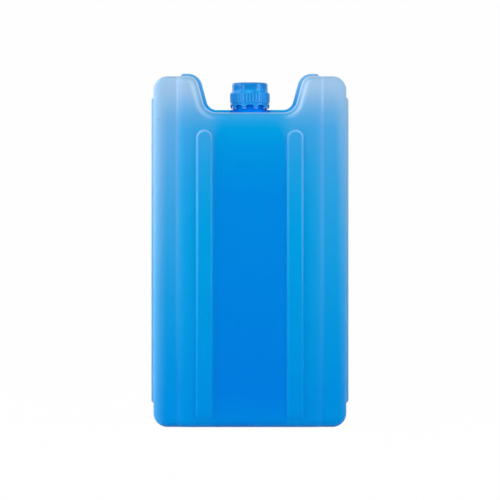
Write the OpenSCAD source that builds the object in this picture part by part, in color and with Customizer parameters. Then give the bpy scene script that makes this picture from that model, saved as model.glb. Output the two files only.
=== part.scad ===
// Reusable ice pack: a flat blow-moulded bottle filled with coolant gel, with a
// notch in its top that gives room round the locked closure.
// It stands on its base, with its width along X, its front face towards -Y and its
// height along Z. All sizes are in mm.

/* [Body] */
// Width across the narrow sides, without the side rails
body_w = 90; // [86:0.5:110]
// Height from the base to the top of the shoulders
body_h = 163.6; // [140:0.2:190]
// Thickness of the two outer bands
band_t = 28.4; // [24:0.2:36]
// Radius of the body's four corners, seen from the front
corner_r = 6.5; // [5.5:0.25:8]
// Radius that rounds the faces into the edges
edge_r = 4; // [3:0.25:4.5]
// Thickness of the moulded wall
wall = 1.5; // [1:0.1:1.8]

/* [Centre section] */
// Width of each outer band, from the narrow side to the step
band_w = 11.5; // [9.5:0.25:14]
// Height of the centre section above the bands
step_h = 1.2; // [0.6:0.1:1.8]
// Radius of the step's rounded edge
step_r = 5; // [3:0.25:6]

/* [Notch] */
// Width of the notch at its floor, measured between the slanted walls
notch_w = 41.1; // [37:0.1:44]
// Depth of the notch below the shoulders
notch_d = 17; // [14:0.5:24]
// Lean of the notch walls in degrees
notch_lean = 15.2; // [8:0.2:20]
// Radius over each shoulder into the notch
notch_top_r = 5; // [4.75:0.25:6]
// Radius in the floor corners of the notch
notch_floor_r = 6.5; // [4.5:0.25:8]

/* [Parting ridge] */
// Height of the ridge left round the notch by the mould's pinch-off
ridge_h = 1.7; // [1:0.1:2.2]
// Thickness of the ridge
ridge_t = 2.4; // [1.8:0.1:4]
// Radius along the ridge's crest
ridge_r = 0.7; // [0.3:0.1:0.8]

/* [Ribs] */
// Distance between the middle lines of the two ribs on a face
rib_pitch = 42.3; // [38:0.1:46]
// Width of a rib at its foot
rib_w = 8.1; // [6:0.1:10]
// Height of a rib above the centre section
rib_h = 1.15; // [0.7:0.05:1.4]
// Radius along a rib's edges
rib_r = 1.5; // [1.5:0.1:2.5]
// Drop from the notch floor to the top end of a rib
rib_drop = 7.8; // [6:0.1:20]
// Radius with which a rib runs out into the base
rib_foot_r = 7; // [6:0.25:8]

/* [Side rails] */
// Height of a rail above the narrow side
rail_h = 1.2; // [0.6:0.1:2]
// Width of a rail
rail_w = 10; // [6:0.5:14]
// Distance from the base to a rail's lower end
rail_low = 10.7; // [8:0.1:30]
// Distance from the shoulders down to a rail's upper end
rail_high = 9.3; // [8:0.1:30]
// Radius along a rail's edges
rail_r = 0.8; // [0.3:0.1:1.2]

/* [Pinch seam in the base] */
// Length of the recess in the base
seam_l = 52; // [30:1:60]
// Width of the recess
seam_w = 3.6; // [3:0.1:5]
// Depth of the recess
seam_d = 0.7; // [0.4:0.1:0.8]
// Width of the weld bead in the recess
bead_w = 1.2; // [0.8:0.1:1.6]

/* [Neck] */
// Outer radius of the neck between the threads
neck_r = 6.4; // [5.8:0.1:6.6]
// Radius of the filling bore
bore_r = 4.9; // [4:0.1:5.1]
// Height of the neck's rim above the notch floor
neck_h = 12.3; // [12.3:0.1:14]
// Height of the thread
thread_h = 0.8; // [0.6:0.05:0.9]
// Pitch of the thread
thread_pitch = 3; // [2.8:0.1:3.2]
// Turns of thread
thread_turns = 1.2; // [1:0.1:1.2]
// Radius of the boss under the neck
boss_r = 8.4; // [8.2:0.1:9]
// Height of the boss above the notch floor
boss_h = 1.3; // [0.8:0.1:1.5]
// Root radius of the ratchet teeth on the collar
ratchet_r = 7.5; // [7.3:0.05:7.6]
// Height of the ratchet teeth
tooth_h = 0.5; // [0.3:0.05:0.55]
// Height of the collar's top above the notch floor
collar_h = 3.9; // [3.6:0.1:4]

/* [Cap] */
// Radius of the plain crown
crown_r = 8.42; // [8.3:0.02:8.8]
// Radius over the grip ribs
skirt_r = 9.32; // [9.1:0.02:9.6]
// Depth of the grooves between the grip ribs
groove_d = 0.36; // [0.2:0.02:0.44]
// Number of grip ribs
rib_count = 40; // [30:1:48]
// Width of a groove as a share of the ribs' pitch
groove_share = 0.42; // [0.3:0.02:0.5]
// Gap between the notch floor and the tips of the locking tabs
cap_gap = 2; // [1.8:0.1:2.3]
// Height of the cap from the tabs' tips to its top
cap_h = 12.4; // [12:0.1:14]
// Height of the plain crown, down to the cone
crown_h = 4.1; // [3:0.1:4.5]
// Height of the cone between the crown and the grip ribs
cone_h = 1.2; // [0.8:0.1:1.6]
// Height of the ring of locking tabs
ring_h = 2.6; // [2.5:0.05:2.8]
// Radius of that ring, just under the grip ribs
ring_r = 9.2; // [9.1:0.02:9.3]
// Number of locking tabs
tab_count = 10; // [10:1:10]
// Width of the arched gap between two tabs
arch_w = 3.7; // [3:0.1:4.2]
// Height of the arched gap
arch_h = 1.8; // [1.4:0.1:2]
// Radius round the top of the crown
crown_edge_r = 1; // [0.5:0.1:1.4]
// Thickness of the cap's top
top_t = 1.1; // [0.9:0.05:1.3]
// Clearance between the neck's thread and the cap's bore
thread_gap = 0.15; // [0.1:0.01:0.2]
// Clearance between the ratchet teeth and the ring of tabs
ratchet_gap = 0.2; // [0.1:0.02:0.25]

/* [Filling and seal] */
// Level of the gel below the notch floor
fill_drop = 3.6; // [2:0.1:12]
// Hair gap kept between the gel and the wall
gel_gap = 0.05; // [0.02:0.01:0.1]
// Radius of the sealing disc
seal_r = 7; // [6.6:0.1:7.1]
// Gap kept on each side of the disc
seal_gap = 0.02; // [0.01:0.01:0.04]

/* [Hidden] */
$fn = 64;
// Flats that make up a quarter of a rounding, on the large radii and on the small ones
edge_steps = 7;
fine_steps = 3;
floor_z = body_h - notch_d;
centre_t = band_t + 2 * step_h;
rib_t = centre_t + 2 * rib_h;
step_x = body_w / 2 - band_w;
step_run = sqrt(2 * step_r * step_h - step_h * step_h);
// Half the width of the block whose rounded edges make the step
block_x = step_x + step_r - step_run;
rib_foot = sqrt(2 * rib_r * rib_h - rib_h * rib_h);
rib_half = rib_w / 2 + rib_r - rib_foot;
rib_top = floor_z - rib_drop;
// The ribs dive under the base's rounding by this much, so they run out above the base
rib_dive = 0.4;
// How far pieces reach into each other where they're joined
bite = 0.5;
lap = 0.3;
// Radius left open at the centre of a bend, which the core covers
pin_r = 0.15;
neck_top = floor_z + neck_h;
thread_r = neck_r + thread_h;
cap_bore_r = thread_r + thread_gap;
cap_low = floor_z + cap_gap;
cap_top = cap_low + cap_h;
cone_top = cap_top - crown_h;
cone_low = cone_top - cone_h;
ring_top = cap_low + ring_h;
// The fine groove that parts the grip ribs from the ring of tabs
part_groove = 0.3;
tip_r = ring_r - 0.35;
ring_in = ratchet_r + tooth_h + ratchet_gap;
teeth = 2 * tab_count;
pawl_w = 1;
// First turn of the neck's thread, above the collar's cone
thread_z = floor_z + collar_h + thread_h + bite + thread_pitch / 4 + 0.3;
thread_steps = 16;

function polar(c, r, a) = [c[0] + r * cos(a), c[1] + r * sin(a)];
// Where the notch wall stands at height z, with the surface moved inwards by d
function wall_x(z, d) = notch_w / 2 + (z - floor_z) * tan(notch_lean) + d / cos(notch_lean);

// Turns a flat shape (x across, y up, z through) so that it stands
module upright() {
    rotate([90, 0, 0]) children();
}

// Points of an arc round c, from angle a0 to a1
function arc(c, r, a0, a1, n) = [for (i = [0 : n]) polar(c, r, a0 + (a1 - a0) * i / n)];

// Section through an edge of a plate t thick, with its two corners rounded to r.
// x = 0 is the outline, and a ridge stands on it along the middle if ridged is true.
module section(t, r, depth, ridged) {
    n = r > 1 ? edge_steps : fine_steps;
    y = ridge_t / 2 - ridge_r;
    x = ridge_h - ridge_r;
    ridge = ridged ? concat([[0, -ridge_t / 2]], arc([x, -y], ridge_r, -90, 0, fine_steps),
        arc([x, y], ridge_r, 0, 90, fine_steps), [[0, ridge_t / 2]]) : [];
    polygon(concat([[-depth, t / 2], [-depth, -t / 2]], arc([-r, r - t / 2], r, -90, 0, n), ridge,
        arc([-r, t / 2 - r], r, 0, 90, n)));
}

// A straight edge from p to q, with the outside on the left of that direction
module straight_edge(p, q, t, r, depth, ridged = false) {
    v = q - p;
    translate([p[0], p[1], 0]) rotate([0, 0, atan2(v[1], v[0]) + 90]) rotate([90, 0, 0])
        linear_extrude(norm(v)) section(t, r, depth, ridged);
}

// An edge that bends outwards round c
module outer_bend(c, rad, start, turn, t, r, depth, ridged = false) {
    translate([c[0], c[1], 0]) rotate([0, 0, start])
        rotate_extrude(angle = turn) translate([rad, 0]) section(t, r, depth, ridged);
}

// An edge that bends inwards round c
module inner_bend(c, rad, start, turn, t, r, depth, ridged = false) {
    translate([c[0], c[1], 0]) rotate([0, 0, start])
        rotate_extrude(angle = turn) translate([rad, 0]) mirror([1, 0]) section(t, r, depth, ridged);
}

// Centres of the two bends of the right notch wall. They're the same for every inset.
top_c = [wall_x(body_h - notch_top_r, 0) + notch_top_r / cos(notch_lean), body_h - notch_top_r];
low_c = [wall_x(floor_z + notch_floor_r, 0) - notch_floor_r / cos(notch_lean), floor_z + notch_floor_r];
notch_turn = 90 - notch_lean;

// The edge that follows the shoulders and the notch, out to x = side, moved inwards by d.
// The ridge ends in a 45 degree ramp just inside each step line.
module notch_edge(t, r, d, side, shoulder_depth, ridged) {
    rt = notch_top_r - d;
    rf = notch_floor_r + d;
    top = body_h - d;
    ridge_end = step_x - lap;
    split = ridged ? ridge_end : side;
    straight_edge([-low_c[0], floor_z - d], [low_c[0], floor_z - d], t, r, rt, ridged);
    for (m = [0, 1])
        mirror([m, 0, 0]) {
            inner_bend(low_c, rf, -90, notch_turn, t, r, rt + bite, ridged);
            straight_edge(polar(low_c, rf, -notch_lean), polar(top_c, rt, 90 + notch_turn), t, r, rt, ridged);
            outer_bend(top_c, rt, 90, notch_turn, t, r, rt - pin_r, ridged);
            difference() {
                straight_edge([top_c[0], top], [split, top], t, r, shoulder_depth, ridged);
                if (ridged) translate([ridge_end, top, -t]) rotate([0, 0, 45]) cube([t, t, 2 * t]);
            }
            if (ridged) straight_edge([split, top], [side, top], t, r, shoulder_depth);
        }
}

// The body's outline as a plate of thickness t with its edges rounded to r, moved inwards
// by d. With full = false it ends flat at x = +-side and has no outer corners.
module plate(t, r, d, full = true, side = 0, ridged = false) {
    rc = corner_r - d;
    x = full ? body_w / 2 - corner_r : side;
    chords = 4;
    edge_x = full ? x + lap : x;
    right = concat([[edge_x, corner_r - lap], [edge_x, body_h - corner_r + lap],
        polar(top_c, 1.2 * lap, 90 + notch_turn / 2)],
        [for (i = [0 : chords])
            polar(low_c, notch_floor_r + notch_top_r - lap, -notch_lean - i * notch_turn / chords)]);
    left = [for (i = [len(right) - 1 : -1 : 0]) [-right[i][0], right[i][1]]];
    linear_extrude(t, center = true) polygon(concat(right, left));
    straight_edge([x, d], [-x, d], t, r, rc);
    notch_edge(t, r, d, x, rc, ridged);
    if (full)
        for (m = [0, 1])
            mirror([m, 0, 0]) {
                outer_bend([x, corner_r], rc, -90, 90, t, r, rc - pin_r);
                straight_edge([body_w / 2 - d, body_h - corner_r], [body_w / 2 - d, corner_r], t, r, rc);
                outer_bend([x, body_h - corner_r], rc, 0, 90, t, r, rc - pin_r);
            }
}

// A rectangle with rounded corners, of half-width hx and thickness t
module rounded(hx, t, r) {
    n = r > 1 ? edge_steps : fine_steps;
    x = hx - r;
    y = t / 2 - r;
    polygon(concat(arc([x, y], r, 0, 90, n), arc([-x, y], r, 90, 180, n),
        arc([-x, -y], r, 180, 270, n), arc([x, -y], r, 270, 360, n)));
}

// The centre section, thicker than the bands, moved inwards by d
module centre(d, ridged = false) {
    intersection() {
        plate(centre_t - 2 * d, edge_r - d, d, false, block_x + bite, ridged);
        translate([0, -1, 0]) rotate([-90, 0, 0])
            linear_extrude(body_h + 2 + ridge_h) rounded(block_x - d, centre_t - 2 * d, step_r - d);
    }
}

// The two ribs of each face: long bars through the body, round at the top end,
// that sink into the rounding of the base
module ribs() {
    top_y = rib_top - rib_half;
    for (s = [-1, 1])
        translate([s * rib_pitch / 2, 0, 0]) {
            intersection() {
                translate([0, -1, 0]) rotate([-90, 0, 0])
                    linear_extrude(top_y + 1) rounded(rib_half, rib_t, rib_r);
                union() {
                    translate([-rib_half - 1, rib_foot_r + rib_dive, -rib_t / 2])
                        cube([2 * rib_half + 2, body_h, rib_t]);
                    straight_edge([rib_half + 1, rib_dive], [-rib_half - 1, rib_dive],
                        rib_t, rib_foot_r, rib_foot_r + bite);
                }
            }
            outer_bend([0, top_y], rib_half, 0, 180, rib_t, rib_r, rib_half - pin_r);
        }
}

// The raised bar on each narrow side, with its ends ramped at 45 degrees
module rails() {
    x = body_w / 2 + rail_h;
    low = rail_low;
    high = body_h - rail_high;
    for (m = [0, 1])
        mirror([m, 0, 0]) intersection() {
            linear_extrude(rail_w, center = true)
                polygon([[x - 2 * rail_h, low - rail_h], [x, low + rail_h],
                    [x, high - rail_h], [x - 2 * rail_h, high + rail_h]]);
            translate([0, low - rail_h, 0]) rotate([-90, 0, 0])
                linear_extrude(high - low + 2 * rail_h) rounded(x, rail_w, rail_r);
        }
}

// A thread laid in short level steps, from radius a at its foot to b at its crest
module thread(a, b, z) {
    foot = thread_pitch / 2;
    crest = thread_pitch / 5;
    for (i = [0 : round(thread_turns * thread_steps) - 1])
        rotate([0, 0, i * 360 / thread_steps])
            translate([0, 0, z + i * thread_pitch / thread_steps])
                rotate_extrude(angle = 360 / thread_steps + 1)
                    polygon([[a, -foot / 2], [b, -crest / 2], [b, crest / 2], [a, foot / 2]]);
}

// Neck, boss and ratchet collar, all round the bore
module neck() {
    cone = ratchet_r - neck_r;
    rotate_extrude() polygon([[0, floor_z - wall], [boss_r, floor_z - wall], [boss_r, floor_z + boss_h - 0.3],
        [boss_r - 0.3, floor_z + boss_h], [ratchet_r, floor_z + boss_h],
        [ratchet_r, floor_z + collar_h], [neck_r, floor_z + collar_h + cone * 0.6],
        [neck_r, neck_top - 0.4], [neck_r - 0.4, neck_top], [0, neck_top]]);
    translate([0, 0, floor_z + boss_h - 0.1]) linear_extrude(collar_h - boss_h)
        for (i = [0 : teeth - 1])
            rotate(360 / teeth * (i + 0.5)) polygon([polar([0, 0], ratchet_r - 0.1, 5),
                polar([0, 0], ratchet_r - 0.1, -4), polar([0, 0], ratchet_r + tooth_h, -4)]);
    thread(neck_r - 0.1, thread_r, thread_z);
}

module shell() {
    color([0.35, 0.68, 0.94]) difference() {
        union() {
            union() {
                upright() {
                    plate(band_t, edge_r, 0);
                    centre(0, true);
                }
                upright() {
                    ribs();
                    rails();
                }
            }
            neck();
        }
        upright() {
            plate(band_t - 2 * wall, edge_r - wall, wall);
            centre(wall);
        }
        translate([0, 0, floor_z - 2 * wall]) cylinder(r = bore_r, h = neck_h + 2 * wall + 1);
        for (s = [-1, 1])
            translate([-seam_l / 2, s * (seam_w + bead_w) / 4 - (seam_w - bead_w) / 4, -1])
                cube([seam_l, (seam_w - bead_w) / 2, seam_d + 1]);
    }
}

module gel() {
    d = wall + gel_gap;
    color([0, 0.47, 0.86]) intersection() {
        upright() {
            plate(band_t - 2 * d, edge_r - d, d);
            centre(d);
        }
        translate([-body_w, -band_t, 0]) cube([2 * body_w, 2 * band_t, floor_z - fill_drop]);
    }
}

module cap() {
    color([0.02, 0.55, 0.88]) {
        difference() {
            union() {
                rotate_extrude() {
                    polygon([[0, ring_top], [tip_r, cap_low + 0.35], [ring_r, cap_low + 1.2],
                        [ring_r, ring_top - part_groove / 2], [ring_r - 0.25, ring_top],
                        [skirt_r - 0.2, ring_top + part_groove], [skirt_r, ring_top + part_groove + 0.2],
                        [skirt_r, cone_low], [crown_r, cone_top],
                        [crown_r - 0.1, cap_top - crown_edge_r], [0, cap_top - crown_edge_r]]);
                    polygon([[0, ring_top], [tip_r - 0.35, cap_low], [tip_r, cap_low + 0.35]]);
                    translate([0, cap_top - crown_edge_r])
                        square([crown_r - 0.1 - crown_edge_r, crown_edge_r]);
                    translate([crown_r - 0.1 - crown_edge_r, cap_top - crown_edge_r]) intersection() {
                        circle(crown_edge_r);
                        square(crown_edge_r);
                    }
                }
            }
            cap_inside();
            cap_grooves();
            cap_arches();
        }
        thread(cap_bore_r + 0.1, neck_r + thread_gap, thread_z - thread_pitch / 2);
        pawls();
    }
}

// The space inside the cap: the bore over the neck, wider round the ratchet
module cap_inside() {
    cone = ring_in - cap_bore_r;
    rotate_extrude() polygon([[0, cap_low - 1], [ring_in, cap_low - 1], [ring_in, floor_z + collar_h + 0.3],
        [cap_bore_r, floor_z + collar_h + 0.3 + cone * 0.6], [cap_bore_r, cap_top - top_t],
        [0, cap_top - top_t]]);
}

// The grooves between the grip ribs, which run out through the cone
module cap_grooves() {
    half = 180 / rib_count * groove_share;
    root = skirt_r - groove_d;
    far = skirt_r + 1;
    translate([0, 0, ring_top + part_groove + 0.4]) linear_extrude(cap_h)
        for (i = [0 : rib_count - 1])
            rotate(360 / rib_count * (i + 0.5)) polygon([polar([0, 0], root, -half * 0.7),
                polar([0, 0], far, -half * 1.3), polar([0, 0], far, half * 1.3),
                polar([0, 0], root, half * 0.7)]);
}

// The arched gaps that part the locking tabs
module cap_arches() {
    for (i = [0 : tab_count - 1])
        rotate([0, 0, 360 / tab_count * (i + 0.5)]) translate([ratchet_r - 0.5, 0, cap_low])
            rotate([90, 0, 90]) linear_extrude(4) {
                translate([-arch_w / 2, -1]) square([arch_w, arch_h]);
                intersection() {
                    translate([0, arch_h - arch_w]) circle(arch_w);
                    translate([-arch_w / 2, 0]) square([arch_w, arch_h]);
                }
            }
}

// The wedge inside each tab that sits between two ratchet teeth
module pawls() {
    reach = ratchet_r + ratchet_gap;
    for (i = [0 : tab_count - 1])
        rotate([0, 0, 360 / tab_count * i]) translate([0, 0, cap_low + 0.5])
            linear_extrude(1.1) polygon([[ring_in + 0.2, -pawl_w / 2], [reach, -pawl_w / 2],
                [ring_in + 0.2, pawl_w / 2]]);
}

module seal() {
    color([0.92, 0.93, 0.9]) translate([0, 0, neck_top + seal_gap])
        cylinder(r = seal_r, h = cap_top - top_t - neck_top - 2 * seal_gap);
}

shell();
gel();
cap();
seal();
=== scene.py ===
import math

import bmesh
import bpy
import numpy as np
from bpy.props import FloatProperty, FloatVectorProperty, IntProperty, PointerProperty
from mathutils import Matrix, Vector
from mathutils.geometry import delaunay_2d_cdt


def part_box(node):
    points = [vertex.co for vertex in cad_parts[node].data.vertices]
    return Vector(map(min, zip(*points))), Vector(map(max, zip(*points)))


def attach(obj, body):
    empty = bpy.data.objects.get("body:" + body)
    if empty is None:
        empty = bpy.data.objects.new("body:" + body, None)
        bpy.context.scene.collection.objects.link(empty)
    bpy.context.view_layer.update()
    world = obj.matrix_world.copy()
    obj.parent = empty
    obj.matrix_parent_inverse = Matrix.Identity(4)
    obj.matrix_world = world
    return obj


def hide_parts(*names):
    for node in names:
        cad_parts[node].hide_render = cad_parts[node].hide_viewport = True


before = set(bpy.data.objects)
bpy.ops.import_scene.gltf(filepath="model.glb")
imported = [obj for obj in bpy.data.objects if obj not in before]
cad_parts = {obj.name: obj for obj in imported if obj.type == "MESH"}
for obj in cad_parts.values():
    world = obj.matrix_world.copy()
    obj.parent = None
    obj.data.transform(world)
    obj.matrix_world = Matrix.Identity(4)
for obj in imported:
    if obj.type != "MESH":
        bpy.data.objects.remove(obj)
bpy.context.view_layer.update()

bl_info = {
    "name": "Reusable ice pack",
    "version": (1, 0, 0),
    "blender": (4, 5, 0),
    "location": "3D View > Sidebar > Ice Pack",
    "description": "Builds a blow-moulded ice pack with its locked cap, its gel and a plain studio",
    "category": "Add Mesh",
}

SHELL_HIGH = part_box("shell")[1]
CAP_LOW, CAP_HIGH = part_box("cap")
MM = 0.001

# Tints that go with the colours in the panel, as sRGB hex
RAIL_TINT = "DCECF4"
# Lighter blue of the ridge at the notch floor: painted light
RIDGE_FOOT_PAINTED_LIGHT = "1CBCFF"
# Blue of the solid neck, lifted as painted light
NECK_BLUE_AND_PAINTED_LIGHT = "0090FF"
# Lighter blue of the cap's skirt: painted light
SKIRT_PAINTED_LIGHT = "009CEC"
SPECK_TINT = "3A5560"
WALL_GLOSS = "4090FF"
CAP_GLOSS = "A8D4FF"
PAPER_TINT = "F2F3F3"
WHITE = (1, 1, 1, 1)

# How far red, green and blue light spread below the surface, as parts of the scatter's scale
PLASTIC_SCATTER = (1.8, 1.2, 0.8)
GEL_SCATTER = (0.5, 1.5, 4)

# Details of the bottle, in millimetres
STEP_FILLET = 0.45
RIB_FILLET = 0.3
RIB_FOOT_START = 0.4
RIB_FOOT_RADIUS = 7
PINCH_END = 26.0
RIDGE_ROUNDING = 0.7
RAIL_ROUNDING = 0.8
HIGHLIGHT_INSET = 0.75
FACE_INSET = 0.45

# Angles round the bottle's edge, in degrees, closer together where the light turns fast
EDGE_ANGLES = (5, 9, 13, 17, 21, 25, 29, 33, 38, 44, 52, 62, 75, 90)
# Where the ends of a rail get a row, in rail heights from the end
RAIL_END_ROWS = (-0.15, 0, 0.15, 0.4, 0.7, 0.9, 1.05, 1.3)
# Where the ends of the ridge get a row, in ridge heights from the end
RIDGE_END_ROWS = (0, 0.25, 0.5, 0.75, 1, 1.2)

# Details of the neck, in millimetres
COLLAR_RADIUS = 7.5
TOOTH_HEIGHT = 0.5
TOOTH_SHARE = 0.42
THREAD_ROOT = 6.4
THREAD_HEIGHT = 0.8
THREAD_PITCH = 3
BORE_RADIUS = 4.9

# Details of the cap, in millimetres
CROWN_ROUNDING = 0.98
TAB_RADIUS = 9.2
TAB_INNER = 8.2
CAP_BORE = 7.35

# The lights, in metres: place, the point looked at, size, and the share of a power in the panel
LAMPS = (
    ("key_light", (-0.62, -0.10, 0.20), (0, 0, 0.085), (0.42, 0.75), "key", 1.0),
    ("left_strip", (-0.60, -0.62, 0.24), (0, 0, 0.085), (0.16, 0.70), "key", 0.4),
    ("rear_strip", (-0.52, 0.36, 0.22), (0, 0, 0.10), (0.45, 0.60), "key", 0.3),
    ("top_light", (0, -0.22, 1.05), (0, 0, 0.15), (0.7, 0.5), "front", 0.38),
    ("fill_light", (0.60, -0.35, 0.20), (0, 0, 0.085), (0.22, 0.70), "fill", 1.0),
    ("front_light", (-0.10, -1.00, 0.85), (0, 0, 0.08), (0.9, 0.6), "front", 1.0),
)
# The camera's lens and sensor in millimetres, and its shift off the middle in metres
LENS_MM = 229.95
SENSOR_MM = 36
CAMERA_SHIFT = 0.00005
# The sheet of paper, in metres, and how bright the paper and the air look
SHEET_HALF_WIDTH = 2.4
SHEET_FRONT = -2.2
SHEET_BEND_START = 0.9
SHEET_BEND = 0.6
SHEET_TOP = 2.4
PAPER_GLOW = 0.985
AIR_GLOW = 0.2


# Shared helpers

def linear(code):
    """The linear colour of an sRGB hex value such as "3A7BD5"."""
    values = [int(code[i:i + 2], 16) / 255 for i in (0, 2, 4)]
    values = [v / 12.92 if v <= 0.04045 else ((v + 0.055) / 1.055) ** 2.4 for v in values]
    return (*values, 1.0)


def mixed(first, second, share):
    """A colour that lies a share of the way from the first to the second."""
    return tuple(p + (q - p) * share for p, q in zip(first, second))


def scaled(rgb, share):
    """A colour made darker or brighter, without alpha in and with alpha out."""
    return tuple(min(1, c * share) for c in rgb) + (1,)


def linked(name, data):
    """A new object in the scene."""
    obj = bpy.data.objects.new(name, data)
    bpy.context.scene.collection.objects.link(obj)
    return obj


def object_from(name, points, faces, smooth_angle, painted_light=None):
    """A smooth-shaded object from points in millimetres. Its normals are made to point outwards. Haze, the
    painted highlight and painted shade at each point, is kept as an attribute of the points if given."""
    mesh = bpy.data.meshes.new(name)
    mesh.from_pydata([[c * MM for c in p] for p in points], [], faces)
    if painted_light is not None:
        mesh.attributes.new("painted_light", "FLOAT", "POINT").data.foreach_set("value", painted_light)
    bm = bmesh.new()
    bm.from_mesh(mesh)
    bmesh.ops.remove_doubles(bm, verts=bm.verts, dist=1e-7)
    bmesh.ops.recalc_face_normals(bm, faces=bm.faces)
    bm.to_mesh(mesh)
    bm.free()
    mesh.polygons.foreach_set("use_smooth", [True] * len(mesh.polygons))
    mesh.set_sharp_from_angle(angle=math.radians(smooth_angle))
    return linked(name, mesh)


def joined(name, parts):
    """One object from several. Each part keeps its own closed surface."""
    bm = bmesh.new()
    for part in parts:
        bm.from_mesh(part.data)
    mesh = bpy.data.meshes.new(name)
    bm.to_mesh(mesh)
    bm.free()
    for part in parts:
        bpy.data.objects.remove(part)
    return linked(name, mesh)


def finish_piece(obj, material, node):
    """Gives a piece its material and puts it in the frame in place of a CAD node."""
    obj.data.materials.clear()
    obj.data.materials.append(material)
    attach(obj, "root")
    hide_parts(node)


def turned(name, profile, turns, grow=None, painted_light=None):
    """A closed shape turned round the vertical axis from (radius, height) pairs. Grow, if given, adds to the
    radius at a radius, a height and an angle. Haze, the painted highlight, is one value for all points."""
    points, faces, rings = [], [], []
    for r, z in profile:
        if r == 0:
            rings.append([len(points)] * turns)
            points.append((0, 0, z))
            continue
        rings.append(list(range(len(points), len(points) + turns)))
        for i in range(turns):
            a = 2 * math.pi * i / turns
            reach = r + grow(r, z, a) if grow else r
            points.append((reach * math.cos(a), reach * math.sin(a), z))
    for low, high in zip(rings, rings[1:]):
        for i in range(turns):
            k = (i + 1) % turns
            corner = [low[i], low[k], high[k], high[i]]
            faces.append([v for n, v in enumerate(corner) if v not in corner[:n]])
    return object_from(name, points, faces, 35, None if painted_light is None else [painted_light] * len(points))


def lofted(name, sections, smooth_angle):
    """A shape through sections with the same number of points, closed at both ends."""
    n = len(sections[0])
    points = [point for section in sections for point in section]
    faces = []
    for j in range(len(sections) - 1):
        for i in range(n):
            k = (i + 1) % n
            faces.append((j * n + i, j * n + k, (j + 1) * n + k, (j + 1) * n + i))
    faces.append(tuple(range(n)))
    faces.append(tuple(range(len(points) - n, len(points))))
    return object_from(name, points, faces, smooth_angle)


def stepped(start, *runs):
    """Values that run from the start through each (end, step) pair."""
    values = [float(start)]
    for end, step in runs:
        count = max(1, round((end - values[-1]) / step))
        values.extend(np.linspace(values[-1], end, count + 1)[1:])
    return np.array(values)


def smooth_max(a, b, k):
    """The larger of two heights, with the crease between them filled to a soft fillet."""
    h = np.clip(0.5 + 0.5 * (a - b) / k, 0, 1)
    return b + (a - b) * h + k * h * (1 - h)


def ramp(value, start, end):
    """0 before start, 1 after end and smooth between them."""
    t = np.clip((value - start) / (end - start), 0, 1)
    return t * t * (3 - 2 * t)


def bell(value, width):
    """1 at zero, and smoothly down to almost nothing at two widths to either side."""
    return np.exp(-(value / width) ** 2)


# Node helpers

def add(tree, kind, inputs=None, stops=None, **settings):
    """Adds a node with its settings. An input is given a value or a socket to link."""
    node = tree.nodes.new(kind)
    for key, value in settings.items():
        setattr(node, key, value)
    if stops:
        band = node.color_ramp
        while len(band.elements) < len(stops):
            band.elements.new(0.5)
        for element, (place, tone) in zip(band.elements, stops):
            element.position = place
            element.color = tone
    for key, value in (inputs or {}).items():
        if isinstance(value, bpy.types.NodeSocket):
            tree.links.new(value, node.inputs[key])
        else:
            node.inputs[key].default_value = value
    return node


def calc(tree, operation, *values):
    """The result of a math node."""
    return add(tree, "ShaderNodeMath", dict(enumerate(values)), operation=operation).outputs[0]


def spread(tree, value, start, end, low=0.0, high=1.0, soft=False):
    """Takes a value from start and end to low and high, and holds it there outside them."""
    return add(tree, "ShaderNodeMapRange", {0: value, 1: start, 2: end, 3: low, 4: high},
               interpolation_type="SMOOTHSTEP" if soft else "LINEAR").outputs[0]


def along(tree, value, start, end, low=0.0, high=1.0, soft=False):
    """As spread, for a length, with start and end in millimetres."""
    return spread(tree, value, start * MM, end * MM, low, high, soft)


def blend(tree, share, first, second):
    """Mixes two colours, each a value or a socket."""
    return add(tree, "ShaderNodeMix", {0: share, 6: first, 7: second}, data_type="RGBA").outputs[2]


def tones(tree, value, stops):
    """The colour at a value along a row of (place, colour) stops."""
    return add(tree, "ShaderNodeValToRGB", {0: value}, stops=stops).outputs[0]


def noise(tree, place, size, detail):
    """Soft noise with blotches of a size in millimetres."""
    return add(tree, "ShaderNodeTexNoise", {"Vector": place, "Scale": 1 / (size * MM),
                                            "Detail": detail}).outputs[0]


def cells(tree, place, size):
    """The distance from the middle of the nearest cell, for cells of a size in millimetres."""
    return add(tree, "ShaderNodeTexVoronoi", {"Vector": place, "Scale": 1 / (size * MM)}).outputs["Distance"]


def bumped(tree, height, strength, depth, under=None):
    """A normal that follows a height, to a depth in millimetres, on top of another normal."""
    inputs = {"Height": height, "Strength": strength, "Distance": depth * MM}
    if under is not None:
        inputs["Normal"] = under
    return add(tree, "ShaderNodeBump", inputs).outputs[0]


def object_place(tree):
    """The place on the object."""
    return add(tree, "ShaderNodeTexCoord").outputs["Object"]


def split(tree, place):
    """The x, y and z of a place, and its distance from the upright axis."""
    parts = add(tree, "ShaderNodeSeparateXYZ", {0: place}).outputs
    flat = add(tree, "ShaderNodeCombineXYZ", {"X": parts["X"], "Y": parts["Y"]}).outputs[0]
    away = add(tree, "ShaderNodeVectorMath", {0: flat}, operation="LENGTH").outputs["Value"]
    return parts["X"], parts["Y"], parts["Z"], away


def new_material(name):
    """An empty node material and its tree."""
    material = bpy.data.materials.new(name)
    material.use_nodes = True
    material.node_tree.nodes.clear()
    return material, material.node_tree


def end_in_principled(tree, inputs):
    """Ends a material's tree in one Principled shader."""
    shader = add(tree, "ShaderNodeBsdfPrincipled", inputs)
    add(tree, "ShaderNodeOutputMaterial", {"Surface": shader.outputs[0]})


# Sizes and colours in the panel

def length(name, description, default_mm):
    """A length of the object, which is shown in the scene's own unit."""
    return FloatProperty(name=name, description=description, default=default_mm * MM,
                         subtype="DISTANCE", unit="LENGTH", precision=5)


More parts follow.
